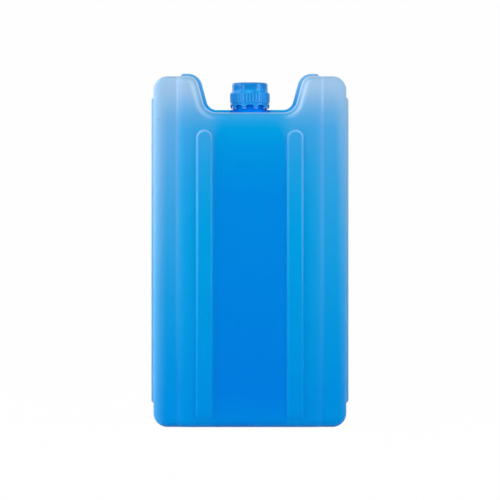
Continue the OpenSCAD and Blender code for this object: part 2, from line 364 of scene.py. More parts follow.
def colour(name, description, code):
    """A colour without alpha, given as sRGB hex."""
    return FloatVectorProperty(name=name, description=description, default=linear(code)[:3],
                               size=3, subtype="COLOR", min=0, max=1)


def power(name, description, default):
    """The power of a light."""
    return FloatProperty(name=name, description=description, default=default, min=0, unit="POWER")


class IcePackBottle(bpy.types.PropertyGroup):
    rail_height: length("Rail height", "Height of the raised bar on each narrow side", 1.2)
    ridge_height: length("Ridge height", "Height of the parting ridge round the notch", 1.7)
    band: length("Band thickness", "Thickness of the two outer bands", 28.4)
    band_width: length("Band width", "From the narrow side to the step", 11.5)
    step: length("Step", "Height of the centre section above the bands", 1.2)
    step_radius: length("Step radius", "Radius of the step's rounded edge", 5)
    corner: length("Corner radius", "Radius of the four corners, seen from the front", 6.5)
    edge: length("Edge radius", "Radius that rounds the faces into the edges", 4)
    notch_width: length("Notch width", "Width of the notch at its floor", 41.1)
    notch_depth: length("Notch depth", "Depth of the notch below the shoulders", 17)
    notch_lean: FloatProperty(name="Notch lean", description="Lean of the notch walls",
                              default=math.radians(15.2), subtype="ANGLE")
    notch_top: length("Shoulder radius", "Radius over each shoulder into the notch", 5)
    notch_floor: length("Floor radius", "Radius in the floor corners of the notch", 6.5)
    rib_pitch: length("Rib pitch", "Between the middle lines of the two ribs on a face", 42.3)
    rib_width: length("Rib width", "Width of a rib at its foot", 8.1)
    rib_height: length("Rib height", "Height of a rib above the centre section", 1.15)
    rib_radius: length("Rib radius", "Radius along a rib's edges", 1.5)
    rib_drop: length("Rib drop", "From the notch floor down to a rib's top end", 7.8)
    rail_width: length("Rail width", "Width of a rail", 10)
    rail_low: length("Rail's lower end", "From the base to a rail's lower end", 10.7)
    rail_high: length("Rail's upper end", "From the shoulders to a rail's upper end", 9.3)


class IcePackCap(bpy.types.PropertyGroup):
    crown: length("Crown radius", "Radius of the plain crown", 8.42)
    skirt: length("Skirt radius", "Radius over the grip ribs", 9.32)
    groove: length("Groove depth", "Depth between the grip ribs", 0.36)
    ribs: IntProperty(name="Grip ribs", description="Number of grip ribs", default=40, min=8)
    tabs: IntProperty(name="Tabs", description="Number of locking tabs", default=10, min=4)
    arch: length("Arch width", "Width of the arched gap between two tabs", 3.7)
    arch_height: length("Arch height", "Height of that gap", 1.8)


class IcePackLooks(bpy.types.PropertyGroup):
    gel_deep: colour("Deep gel", "Gel seen through the thickest part", "0083E1")
    gel: colour("Gel", "Gel seen through the outer bands", "00A2E3")
    air: colour("Air", "Frosted wall with only air behind it", "A4C8E8")
    edge: colour("Edge", "Wall along the narrow sides", "68B2E2")
    # The solid plastic's blue is lifted a little above its own: painted light against the shade of the
    # recessed ridge
    solid: colour("Solid plastic", "Ridge and neck, which have no gel behind them", "14A8EC")
    # The colour of painted highlights: on the bottle's edges, ribs, step and notch, and on the cap's rib
    # crests, tab tips and crown edge
    painted_light: colour("Haze", "Milky look of the wall where it turns round an edge", "C8E6FF")
    cap: colour("Cap", "Moulded cap", "0084D6")
    seal: colour("Seal", "Foam disc under the cap", "E8EAE4")


class IcePackStudio(bpy.types.PropertyGroup):
    key: power("Key light", "Power of the light on the left", 2.95)
    fill: power("Fill light", "Power of the light on the right", 2.4)
    front: power("Front light", "Power of the light over the camera", 3.75)
    distance: length("Camera distance", "From the camera to the pack's middle plane", 1500)
    eye: length("Camera height", "Height of the camera above the floor", 82.56)


# Materials

def gel_tones(tree, place, spot, looks):
    """The gel's blue through the wall: deep in the middle, lighter in the bands, and pale where
    the shoulders hold only air."""
    x, _, z, _ = spot
    gel, deep, air = (*looks.gel, 1), (*looks.gel_deep, 1), (*looks.air, 1)
    across = calc(tree, "ABSOLUTE", x)
    # The level of the gel drifts by a few millimetres
    shift = calc(tree, "SUBTRACT", noise(tree, place, 38, 2), 0.5)
    level = spread(tree, calc(tree, "MULTIPLY_ADD", shift, 5 * MM, z), 0, SHELL_HIGH.z)
    outer = tones(tree, level, [
        (0.00, mixed(gel, deep, 0.40)), (0.08, mixed(gel, deep, 0.42)), (0.30, mixed(gel, deep, 0.18)),
        (0.55, gel), (0.64, mixed(gel, air, 0.01)), (0.74, mixed(gel, air, 0.035)),
        (0.84, mixed(gel, air, 0.12)), (0.88, mixed(gel, air, 0.28)), (0.92, mixed(gel, air, 0.64)),
        (0.95, mixed(gel, air, 0.94)), (1.00, air)])
    centre = tones(tree, level, [
        (0.00, mixed(deep, gel, 0.4)), (0.10, deep), (0.65, mixed(deep, gel, 0.25)),
        (0.79, mixed(deep, gel, 0.65)), (0.845, gel), (0.87, mixed(gel, air, 0.06)),
        (0.895, mixed(gel, air, 0.20)), (1.00, air)])
    # The deep middle widens under the notch, and its border gets softer there
    lift = along(tree, z, 132, 145, 0, 3.2 * MM, soft=True)
    moved = calc(tree, "SUBTRACT", across, lift)
    fade = calc(tree, "MULTIPLY_ADD", lift, -2.5, 15.2 * MM)
    inside = spread(tree, moved, 18.4 * MM, fade, soft=True)
    body = blend(tree, inside, outer, centre)
    # Paler towards the narrow sides, where the gel behind the rounded wall runs thinner, more so near the
    # top; the extra paleness on the left is painted light from the lamp on that side
    lean = calc(tree, "MULTIPLY_ADD", z, 0.035, across)
    lean = calc(tree, "MULTIPLY_ADD", x, -0.035, lean)
    side = along(tree, lean, 40.4, 51, 0, 0.85, soft=True)
    # The outer bands hold less of it than the thicker centre; the left band is made paler than the right,
    # painted light from the lamp on the left
    band = along(tree, across, 33.0, 34.4)
    rise = along(tree, z, 20, 150, 0, 0.29, soft=True)
    painted_left_light = along(tree, x, -36, 36, 1.0, 0.4)
    band = calc(tree, "MULTIPLY", calc(tree, "MULTIPLY", band, rise), painted_left_light)
    side = calc(tree, "MAXIMUM", side, band)
    drier = along(tree, z, 60, 160, 0, 0.9)
    edge = blend(tree, drier, (*looks.edge, 1), air)
    pale = blend(tree, side, body, edge)
    # The rails stand out from the gel and look a little whiter
    rail = along(tree, across, 45.0, 46.1, 0, 0.16)
    return blend(tree, rail, pale, linear(RAIL_TINT))


def solid_tones(tree, spot, looks):
    """Where the wall is solid plastic, as the ridge and the neck are, and the blue it has there, lifted in
    places as painted light.
    """
    x, y, z, away = spot
    across = calc(tree, "ABSOLUTE", x)
    off_middle = calc(tree, "ABSOLUTE", y)
    thin = along(tree, off_middle, 1.55, 1.25)
    inner = calc(tree, "LESS_THAN", across, 33.4 * MM)
    ridge = calc(tree, "MULTIPLY", thin, inner)
    neck = calc(tree, "LESS_THAN", away, 9.3 * MM)
    either = calc(tree, "MAXIMUM", ridge, neck)
    solid = calc(tree, "MULTIPLY", either, along(tree, z, 146.0, 146.9))
    # The ridge is lifted to a lighter blue at the notch floor, painted light against the shade there, and
    # goes pale towards the shoulders
    low = along(tree, z, 150.5, 148)
    upper = along(tree, z, 148, 164, 0, 0.36)
    # The right side is paler still: painted light from the lamp on the left
    upper = calc(tree, "MULTIPLY", upper, along(tree, x, -20, 24, 0.9, 1.7))
    tone = blend(tree, low, (*looks.solid, 1), linear(RIDGE_FOOT_PAINTED_LIGHT))
    tone = blend(tree, upper, tone, (*looks.air, 1))
    # The neck's blue is lifted a little: painted light against the shade under the cap
    tone = blend(tree, neck, tone, linear(NECK_BLUE_AND_PAINTED_LIGHT))
    return solid, tone


def frosted_wall(looks):
    """Blow-moulded natural polyethylene, sand-blasted mould, with gel or air behind it. The grain scatters
    the gloss, the gel shows as deep blue and the empty shoulders as pale. Highlights on the edges, ribs, step
    and notch, darker bands beside some of them, and some light on the left side, the ridge and the neck are
    painted into the colour."""
    material, tree = new_material("frosted_blow_moulded_polyethylene")
    place = object_place(tree)
    spot = split(tree, place)
    pale = gel_tones(tree, place, spot, looks)
    # The haze attribute is above 0 where a highlight is painted and below 0 where painted shade makes a
    # darker band beside it; both fade towards the base
    clear = along(tree, spot[2], 5, 150, 0.03, 0.9, soft=True)
    painted_light_share = add(tree, "ShaderNodeAttribute", attribute_name="painted_light").outputs["Fac"]
    painted_light_share = calc(tree, "MULTIPLY", painted_light_share, clear)
    painted_shade = calc(tree, "MULTIPLY", painted_light_share, -1.0)
    pale = blend(tree, painted_light_share, pale, (*looks.painted_light, 1))
    pale = blend(tree, painted_shade, pale, (*looks.gel, 1))
    solid, tone = solid_tones(tree, spot, looks)
    pale = blend(tree, solid, pale, tone)
    # Tiny dark inclusions in the resin, one every few centimetres
    speck = spread(tree, cells(tree, place, 19), 0.026, 0.012, 0, 0.55)
    body = blend(tree, speck, pale, linear(SPECK_TINT))
    # Fine scuffs from handling, 3 mm across and 26 mm along the height
    stretch = add(tree, "ShaderNodeMapping", {
        "Vector": place, "Scale": (1 / (3 * MM), 1 / (3 * MM), 1 / (26 * MM))}).outputs[0]
    scuffs = add(tree, "ShaderNodeTexNoise", {"Vector": stretch, "Scale": 1.0, "Detail": 6,
                                              "Roughness": 0.62}).outputs[0]
    rough = spread(tree, scuffs, 0.3, 0.75, 0.30, 0.42)
    # Grain of the blasted mould, about 0.45 mm, over the slight waves of a blown wall
    wavy = bumped(tree, noise(tree, place, 17, 1), 0.5, 0.5)
    grainy = bumped(tree, noise(tree, place, 0.45, 3), 0.35, 0.05, wavy)
    end_in_principled(tree, {
        "Base Color": body, "Roughness": rough, "IOR": 1.51, "Specular IOR Level": 0.2,
        "Specular Tint": linear(WALL_GLOSS), "Subsurface Weight": 0.35,
        "Subsurface Radius": PLASTIC_SCATTER, "Subsurface Scale": 1.6 * MM, "Normal": grainy})
    return material


def coolant_gel(looks):
    """Poured cellulose gel, dyed blue: wet gloss, soft depth and a few trapped bubbles."""
    material, tree = new_material("poured_coolant_gel")
    place = object_place(tree)
    tone = tones(tree, noise(tree, place, 14, 3), [(0.3, (*looks.gel_deep, 1)), (0.75, (*looks.gel, 1))])
    bubbles = spread(tree, cells(tree, place, 6), 0.1, 0.0)
    end_in_principled(tree, {
        "Base Color": tone, "Roughness": 0.12, "IOR": 1.34, "Subsurface Weight": 0.6,
        "Subsurface Radius": GEL_SCATTER, "Subsurface Scale": 3 * MM,
        "Normal": bumped(tree, bubbles, 0.6, 0.4)})
    return material


def moulded_cap(looks):
    """Injection-moulded polypropylene from a polished tool: harder gloss than the bottle, with slight flow
    marks. Highlights on the rib crests, the tab tips and the crown's edge are painted into the colour, and
    the skirt is lightened as painted light."""
    material, tree = new_material("injection_moulded_polypropylene")
    place = object_place(tree)
    _, _, z, away = split(tree, place)
    flow = noise(tree, place, 3.2, 3)
    tone = tones(tree, flow, [(0.3, scaled(looks.cap, 0.93)), (0.7, scaled(looks.cap, 1.05))])
    # The skirt is lightened: painted light against the shade of the grip ribs and the cone
    skirt = along(tree, z, 158.6, 157.0, 0, 0.95)
    tone = blend(tree, skirt, tone, linear(SKIRT_PAINTED_LIGHT))
    # Painted highlights: the crests of the ribs, glints on the tips of the tabs and the crown's edge are
    # lightened
    crest_highlight = along(tree, away, 9.15, 9.34, 0, 0.06)
    tip = along(tree, z, 149.2, 148.65, 0, 0.6)
    shoulder = along(tree, z, 160.4, 161.3, 0, 0.45)
    bright = calc(tree, "MAXIMUM", calc(tree, "MAXIMUM", crest_highlight, tip), shoulder)
    tone = blend(tree, bright, tone, (*looks.painted_light, 1))
    end_in_principled(tree, {
        "Base Color": tone, "Roughness": spread(tree, flow, 0.3, 0.7, 0.18, 0.25), "IOR": 1.49,
        "Specular IOR Level": 0.75, "Specular Tint": linear(CAP_GLOSS), "Subsurface Weight": 0.12,
        "Subsurface Radius": PLASTIC_SCATTER, "Subsurface Scale": 0.6 * MM,
        "Normal": bumped(tree, noise(tree, place, 0.7, 2), 0.08, 0.04)})
    return material


def seal_foam(looks):
    """Die-cut expanded polyethylene: matt, off-white, with cells of about 0.4 mm."""
    material, tree = new_material("die_cut_polyethylene_foam")
    foam = cells(tree, object_place(tree), 0.4)
    tone = tones(tree, foam, [(0.0, scaled(looks.seal, 0.8)), (0.5, (*looks.seal, 1))])
    end_in_principled(tree, {"Base Color": tone, "Roughness": 0.85, "IOR": 1.5,
                             "Normal": bumped(tree, foam, 0.5, 0.08)})
    return material


# The bottle

def arc_rows(centre, radius, angles, notch=0, outward=1):
    """Outline rows along an arc. Outward is -1 where the bottle lies outside the arc."""
    rows = []
    for a in angles:
        c, s = math.cos(a), math.sin(a)
        rows.append((centre[0] + radius * c, centre[1] + radius * s, outward * c, outward * s, notch, 0, 0))
    return rows


class BottleForm:
    """The bottle's outer surface, in millimetres, from the sizes in the panel."""

    def __init__(self, p):
        def mm(value):
            return value / MM

        def wall_x(z):
            return mm(p.notch_width) / 2 + (z - self.floor) * math.tan(self.lean)

        self.rail, self.ridge = mm(p.rail_height), mm(p.ridge_height)
        self.half_w = mm(SHELL_HIGH.x) - self.rail
        self.top = mm(SHELL_HIGH.z) - self.ridge
        self.band, self.step = mm(p.band) / 2, mm(p.step)
        self.centre = self.band + self.step
        self.rc, self.re, self.rs = mm(p.corner), mm(p.edge), mm(p.step_radius)
        self.step_x = self.half_w - mm(p.band_width)
        self.block = self.step_x + self.rs - math.sqrt(2 * self.rs * self.step - self.step ** 2)
        self.floor = self.top - mm(p.notch_depth)
        self.lean = p.notch_lean
        self.rt, self.rf = mm(p.notch_top), mm(p.notch_floor)
        self.top_c = (wall_x(self.top - self.rt) + self.rt / math.cos(self.lean), self.top - self.rt)
        self.low_c = (wall_x(self.floor + self.rf) - self.rf / math.cos(self.lean), self.floor + self.rf)
        self.rib_x, self.rr = mm(p.rib_pitch) / 2, mm(p.rib_radius)
        rise = mm(p.rib_height)
        self.rib = self.centre + rise
        self.rib_half = mm(p.rib_width) / 2 + self.rr - math.sqrt(2 * self.rr * rise - rise ** 2)
        self.rib_end = self.floor - mm(p.rib_drop) - self.rib_half
        self.rail_half = mm(p.rail_width) / 2
        self.rail_z = (mm(p.rail_low), self.top - mm(p.rail_high))

    def plateau(self, x):
        """Half the thickness away from the rounded edges: the bands and the thicker centre."""
        inward = np.clip(np.abs(x) - (self.block - self.rs), 0, self.rs)
        middle = np.where(np.abs(x) < self.block,
                          self.centre - self.rs + np.sqrt(self.rs ** 2 - inward ** 2), 0)
        return smooth_max(middle, self.band, STEP_FILLET)

    def from_rib(self, x, z):
        """The distance from the middle line of the nearest rib."""
        dx = np.abs(np.abs(x) - self.rib_x)
        return np.where(z < self.rib_end, dx, np.hypot(dx, z - self.rib_end))

    def ribs(self, x, z):
        """Half the thickness over the ribs, and 0 beside them."""
        away = self.from_rib(x, z)
        reach = np.clip(self.rib_half - away, 0, self.rr)
        side = self.rib - self.rr + np.sqrt(self.rr ** 2 - (self.rr - reach) ** 2)
        short = RIB_FOOT_RADIUS - np.clip(z - RIB_FOOT_START, 0, RIB_FOOT_RADIUS)
        foot = self.rib - RIB_FOOT_RADIUS + np.sqrt(RIB_FOOT_RADIUS ** 2 - short ** 2)
        return np.where(self.rib_half > away, np.minimum(side, foot), 0)

    def half(self, x, z, angle):
        """Half the thickness, at an angle round the edge from 0 to a right angle."""
        plate = self.plateau(x) - self.re * (1 - np.sin(angle))
        return smooth_max(self.ribs(x, z), plate, RIB_FILLET)

    def painted_light(self, x, z):
        """Painted highlights on the rounded edges of the ribs and of the step."""
        # A painted highlight along a rib, more so on its outer side, and round its top end
        away = self.from_rib(x, z)
        rib = bell(self.rib_half - away - HIGHLIGHT_INSET, 0.36) * ramp(z, 3, 8) * (away < self.rib_half)
        long_sides = (0.10 + 0.16 * (np.abs(x) > self.rib_x)) * ramp(z, 10, 120)
        round_end = 0.25 * ramp(z, self.rib_end - 2, self.rib_end + 2)
        # A painted highlight along the step, with a narrow core that grows strong near the top
        inward = self.step_x + HIGHLIGHT_INSET - np.abs(x)
        step = np.where(inward > 0, np.exp(-inward / 2.4), bell(inward, 0.3))
        core = bell(inward - 0.5, 0.4) * (0.06 + 0.5 * ramp(z, 140, 158))
        return (long_sides + round_end) * rib + 0.13 * step + core

    def grid_lines(self):
        """Lines across and up, close together where the surface turns."""
        right = stepped(0, (15.6, 1.6), (19.6, 0.28), (22.7, 0.8), (26.7, 0.28), (29.6, 0.9),
                        (32.6, 0.5), (34.2, 0.16), (35.4, 0.4), (self.half_w - self.rc, 0.8))
        across = np.concatenate([-right[:0:-1], right])
        up = stepped(self.re, (9.5, 0.45), (self.rib_end - 1.5, 2.4), (self.rib_end + 4.6, 0.28),
                     (self.top - self.rc, 0.9))
        return across, up

    def right_outline(self, across, up):
        """The right half of the outline, from the middle of the base round to the notch floor.
        Each row holds x, z, the outward direction, and the shares of ridge, rail and recess."""
        edge = self.half_w - self.rc
        # The base, with the pinch recess in its middle
        flat = np.union1d(across[across >= 0], [PINCH_END - 0.15, PINCH_END])
        rows = [(x, 0, 0, -1, 0, 0, 1.0 - ramp(x, PINCH_END - 0.2, PINCH_END + 0.02)) for x in flat]
        rows += arc_rows((edge, self.rc), self.rc, np.radians(np.linspace(-90, 0, 13))[1:])
        # The narrow side with its rail
        low, high = self.rail_z
        run = self.rail
        ends = [low + run * t for t in RAIL_END_ROWS] + [high - run * t for t in RAIL_END_ROWS]
        for z in np.union1d(up[up > self.rc + 0.3], ends)[:-1]:
            share = min(ramp(z, low - 0.3, low + run + 0.3), ramp(-z, -high - 0.3, -high + run + 0.3))
            rows.append((self.half_w, z, 1, 0, 0, share, 0))
        rows += arc_rows((edge, self.top - self.rc), self.rc, np.radians(np.linspace(0, 90, 13)))
        # The shoulder, where the ridge begins
        ridge_end = self.step_x - 0.3
        shoulder = set(across[(across < edge - 0.1) & (across > self.top_c[0] + 0.2)])
        shoulder |= {ridge_end - self.ridge * t for t in RIDGE_END_ROWS}
        for x in sorted(shoulder, reverse=True):
            share = 1.0 - ramp(x, ridge_end - self.ridge - 0.1, ridge_end + 0.1)
            rows.append((x, self.top, 0, 1, share, 0, 0))
        # The notch: over the shoulder, down the leaning wall and round into the floor
        turn = math.pi / 2 - self.lean
        rows += arc_rows(self.top_c, self.rt, np.linspace(math.pi / 2, math.pi / 2 + turn, 15), 1)
        start = rows[-1][:2]
        end = (self.low_c[0] + self.rf * math.cos(-self.lean), self.low_c[1] + self.rf * math.sin(-self.lean))
        for t in np.linspace(0, 1, 10)[1:]:
            rows.append((start[0] + (end[0] - start[0]) * t, start[1] + (end[1] - start[1]) * t,
                         -math.cos(self.lean), math.sin(self.lean), 1, 0, 0))
        rows += arc_rows(self.low_c, self.rf, np.linspace(-self.lean, -math.pi / 2, 17)[1:], 1, -1)
        for x in across[(across < self.low_c[0] - 0.3) & (across >= 0)][::-1]:
            rows.append((x, self.floor, 0, 1, 1, 0, 0))
        return np.array(rows)

    def outline(self, across, up):
        """The whole outline, as the front shows it, against the clock."""
        right = self.right_outline(across, up)
        left = right[-2:0:-1] * np.array([-1, 1, -1, 1, 1, 1, 1])
        return np.vstack([right, left])

    def edge_rows(self):
        """Rows across the flat of the edge: half the distance from the middle plane, and how
        far the ridge, the rail and the recess of the pinch seam stand out there."""
        r = RIDGE_ROUNDING
        ridge = [(0.0, self.ridge)]
        ridge += [(0.5 + r * math.sin(a), self.ridge - r + r * math.cos(a))
                  for a in np.radians((0, 22, 45, 67, 90))]
        ridge += [(1.215, 0.45), (1.26, 0.2), (1.36, 0.07), (1.6, 0.0)]
        r = RAIL_ROUNDING
        c = self.rail_half - r
        rail = [(0.0, self.rail)]
        rail += [(c + r * math.sin(a), self.rail - r * (1 - math.cos(a)))
                 for a in np.radians((0, 30, 55, 75, 90))]
        rail += [(c + 0.83, 0.22), (c + 0.9, 0.08), (c + 1.15, 0.0)]
        recess = [(0.0, 0.0), (0.55, 0.0), (0.64, -0.7), (1.76, -0.7), (1.85, 0.0)]
        places = np.unique(np.round([y for y, _ in ridge + rail + recess] + [2.3, 3.1], 4))
        heights = [np.interp(places, *zip(*rows)) for rows in (ridge, rail, recess)]
        return places, *heights


def inside_ring(ring_x, ring_z, x, z):
    """Which points lie inside a closed ring."""
    inside = np.zeros(len(x), bool)
    for x0, z0, x1, z1 in zip(ring_x, ring_z, np.roll(ring_x, -1), np.roll(ring_z, -1)):
        crosses = (z0 > z) != (z1 > z)
        if crosses.any():
            inside ^= crosses & (x < x0 + (z - z0) * (x1 - x0) / (z1 - z0))
    return inside


def strip_columns(form, line):
    """Rings of x, z, half the thickness and haze (painted highlight and shade), from the middle plane out to
    the flat face.
    """
    places, ridge, rail, recess = form.edge_rows()
    x, z, nx, nz, notch = line[:, 0], line[:, 1], line[:, 2], line[:, 3], line[:, 4]
    columns = []
    for y, o_ridge, o_rail, o_recess in zip(places, ridge, rail, recess):
        out = o_ridge * notch + o_rail * line[:, 5] + o_recess * line[:, 6]
        columns.append((x + nx * out, z + nz * out, np.full_like(x, y), notch * (y > 1.5)))
    reach = form.plateau(x) - form.re
    for t in (0.25, 0.55, 0.8, 1.0):
        columns.append((x, z, places[-1] + (reach - places[-1]) * t, notch))
    for angle in np.radians(EDGE_ANGLES):
        inward = form.re * (1 - math.cos(angle))
        px, pz = x - nx * inward, z - nz * inward
        # A painted highlight along the ridge's root, painted shade as a darker band next to it, and a painted
        # highlight down the notch walls, stronger and narrower on the right
        soft = np.where(x > 0, 0.95 * bell(inward - 2.2, 0.7), 0.7 * bell(inward - 2.6, 0.8))
        painted_light_share = notch * (bell(inward, 0.4) - 0.24 * bell(inward - 1.1, 0.4) + np.abs(nx) * soft)
        painted_light_share = np.clip(painted_light_share + form.painted_light(px, pz) * math.sin(angle), -1, 1)
        columns.append((px, pz, form.half(px, pz, angle), painted_light_share))
    return columns


def bottle_skin(p):
    """The bottle's skin: a strip of quads swept round the outline, closed by the two faces."""
    form = BottleForm(p)
    across, up = form.grid_lines()
    line = form.outline(across, up)
    columns = strip_columns(form, line)
    count = len(line)
    points, faces, painted_light = [], [], []
    rings = [(px, -y, pz, painted_light_share) for px, pz, y, painted_light_share in columns[:0:-1]]
    rings += [(px, y, pz, painted_light_share) for px, pz, y, painted_light_share in columns]
    for px, y, pz, painted_light_share in rings:
        points.extend(zip(px, y, pz))
        painted_light.extend(painted_light_share)
    for j in range(len(rings) - 1):
        for i in range(count):
            k = (i + 1) % count
            faces.append((j * count + i, (j + 1) * count + i, (j + 1) * count + k, j * count + k))
    # The faces: a grid of points inside the strip, triangulated once for both
    ring_x, ring_z = columns[-1][:2]
    gx, gz = [a.ravel() for a in np.meshgrid(across, up[1:])]
    inside = inside_ring(ring_x - line[:, 2] * FACE_INSET, ring_z - line[:, 3] * FACE_INSET, gx, gz)
    flat = [Vector(v) for v in zip(ring_x, ring_z)] + [Vector(v) for v in zip(gx[inside], gz[inside])]
    ring = [(i, (i + 1) % count) for i in range(count)]
    coords, _, triangles, origin, _, _ = delaunay_2d_cdt(flat, ring, [], 1, 1e-6)
    cx, cz = np.array([v.x for v in coords]), np.array([v.y for v in coords])
    height = form.half(cx, cz, math.pi / 2)
    painted_light_share = form.painted_light(cx, cz)
    for side, first in ((-1, 0), (1, (len(rings) - 1) * count)):
        index = []
        for i, source in enumerate(origin):
            on_ring = [s for s in source if s < count]
            if on_ring:
                index.append(first + on_ring[0])
            else:
                index.append(len(points))
                points.append((cx[i], side * height[i], cz[i]))
                painted_light.append(painted_light_share[i])
        for tri in triangles:
            corner = [index[v] for v in tri]
            if len(set(corner)) == 3:
                faces.append(corner if side < 0 else corner[::-1])
    return object_from("bottle_skin", points, faces, 50, painted_light)


def neck_skin(p, cap):
    """The neck with its boss, ratchet collar and thread, open at the rim, down into the notch floor."""
    f = BottleForm(p).floor
    teeth = 2 * cap.tabs
    profile = [(0, f - 1.4), (8.6, f - 1.4), (9.0, f - 0.3), (8.7, f + 0.12), (8.45, f + 0.4),
               (8.4, f + 0.9), (8.33, f + 1.15), (8.1, f + 1.3), (7.7, f + 1.32)]
    profile += [(COLLAR_RADIUS, z) for z in np.linspace(f + 1.4, f + 3.85, 9)]
    profile += [(7.35, f + 3.95), (6.45, f + 4.55)]
    profile += [(THREAD_ROOT, z) for z in np.linspace(f + 4.7, f + 11.8, 26)]
    profile += [(6.3, f + 12.1), (6.0, f + 12.3), (5.1, f + 12.3), (BORE_RADIUS, f + 12.1),
                (BORE_RADIUS, f + 6), (BORE_RADIUS, f - 0.9), (0, f - 0.9)]

    def grow(r, z, a):
        """The height of a ratchet tooth or of the thread."""
        if r == COLLAR_RADIUS:
            phase = (a * teeth / (2 * math.pi)) % 1
            return TOOTH_HEIGHT * max(0, 1 - phase / TOOTH_SHARE)
        if r == THREAD_ROOT and f + 5.3 < z < f + 9.6:
            phase = ((z - f - 6.6) / THREAD_PITCH - a / (2 * math.pi) + 0.5) % 1 - 0.5
            return THREAD_HEIGHT * min(1, max(0, (0.25 - abs(phase)) / 0.14))
        return 0

    return turned("bottle_neck", profile, 16 * teeth, grow, 0.0)


# The cap

def cap_body(c):
    """Crown, cone, skirt and the upper part of the ring of tabs, hollow inside."""
    low, top = CAP_LOW.z / MM, CAP_HIGH.z / MM
    crown, skirt, root = c.crown / MM, c.skirt / MM, (c.skirt - c.groove) / MM
    profile = [(0, top), (3.5, top), (crown - 1.25, top)]
    for a in np.radians((15, 30, 45, 60, 75, 90)):
        profile.append((crown - 1.05 + CROWN_ROUNDING * math.sin(a),
                        top - CROWN_ROUNDING + CROWN_ROUNDING * math.cos(a)))
    profile += [(crown - 0.02, top - 2.6), (crown, top - 3.9), (crown + 0.05, top - 4.1),
                (root, top - 4.84), (root, top - 5.4), (root, low + 3.5), (root, low + 3.34),
                (skirt - 0.06, low + 3.3), (skirt, low + 3.2), (skirt, low + 3.08), (skirt - 0.1, low + 2.94),
                (9.02, low + 2.78), (8.93, low + 2.66), (8.96, low + 2.54), (9.1, low + 2.46),
                (TAB_RADIUS, low + 2.3), (TAB_RADIUS, low + 1.95), (9.08, low + 1.82), (8.35, low + 1.82),
                (8.22, low + 1.95), (TAB_INNER, low + 2.3), (7.5, low + 3.0), (CAP_BORE, low + 3.2),
                (CAP_BORE, top - 1.4), (7.1, top - 1.1), (0, top - 1.1)]
    return turned("cap_body", profile, 192)


def grip_rib(c):
    """One grip rib at angle 0, half round in section, that dies into the cone."""
    low, top = CAP_LOW.z / MM, CAP_HIGH.z / MM
    root, rise = (c.skirt - c.groove) / MM, c.groove / MM
    half = math.pi * (c.skirt / MM) / c.ribs * 0.6
    sunk = 0.12
    levels = [(low + 3.0, 1.0), (low + 3.3, 1.0), (low + 4, 1.0), (low + 5.5, 1.0), (top - 5.45, 1.0),
              (top - 5.3, 0.97), (top - 5.1, 0.7), (top - 4.85, 0.28), (top - 4.7, -0.15)]
    turn = np.radians(range(0, 181, 20))
    sections = []
    for z, share in levels:
        sections.append([(root - sunk + (rise * share + sunk) * min(1.0, math.sin(a) * 1.25),
                          math.cos(a) * half, z) for a in turn])
    return lofted("grip_rib", sections, 60)


def locking_tab(c):
    """One locking tab at angle 0, with half an arch on either side of it."""
    low = CAP_LOW.z / MM
    arch_radius = c.arch / MM
    pitch = 2 * math.pi * TAB_RADIUS / c.tabs
    half_tab = (pitch - arch_radius) / 2
    centre = c.arch_height / MM - arch_radius
    columns = np.concatenate([np.linspace(0, half_tab - 0.12, 6), [half_tab - 0.06, half_tab],
                              np.linspace(half_tab + 0.02, pitch / 2 + 0.01, 9)])
    sections = []
    for s in np.concatenate([-columns[:0:-1], columns]):
        tip = 0 if abs(s) > half_tab + 1e-6 else 1
        if not tip:
            beside = pitch / 2 - abs(s)
            bottom = low + centre + math.sqrt(max(0, arch_radius ** 2 - beside ** 2))
        elif abs(s) > half_tab - 1e-6:
            bottom = low + 0.3
        else:
            bottom = low if abs(s) < half_tab - 0.2 else low + 0.12
        section = [(TAB_INNER + 0.02, low + 2.3)]
        section += [(TAB_RADIUS + 0.005 - tip * 0.35 * float(ramp(low + 1.3 - z, 0, 0.9)), z)
                    for z in np.linspace(low + 2.3, bottom + 0.45, 6)]
        last = section[-1][0]
        section += [(last - 0.06 - 0.1 * tip, bottom + 0.2), (last - 0.16 - 0.18 * tip, bottom + 0.05),
                    (last - 0.3 - 0.2 * tip, bottom), (TAB_INNER + 0.12, bottom),
                    (TAB_INNER + 0.02, bottom + 0.12)]
        a = s / TAB_RADIUS
        sections.append([(r * math.cos(a), r * math.sin(a), z) for r, z in section])
    return lofted("locking_tab", sections, 40)


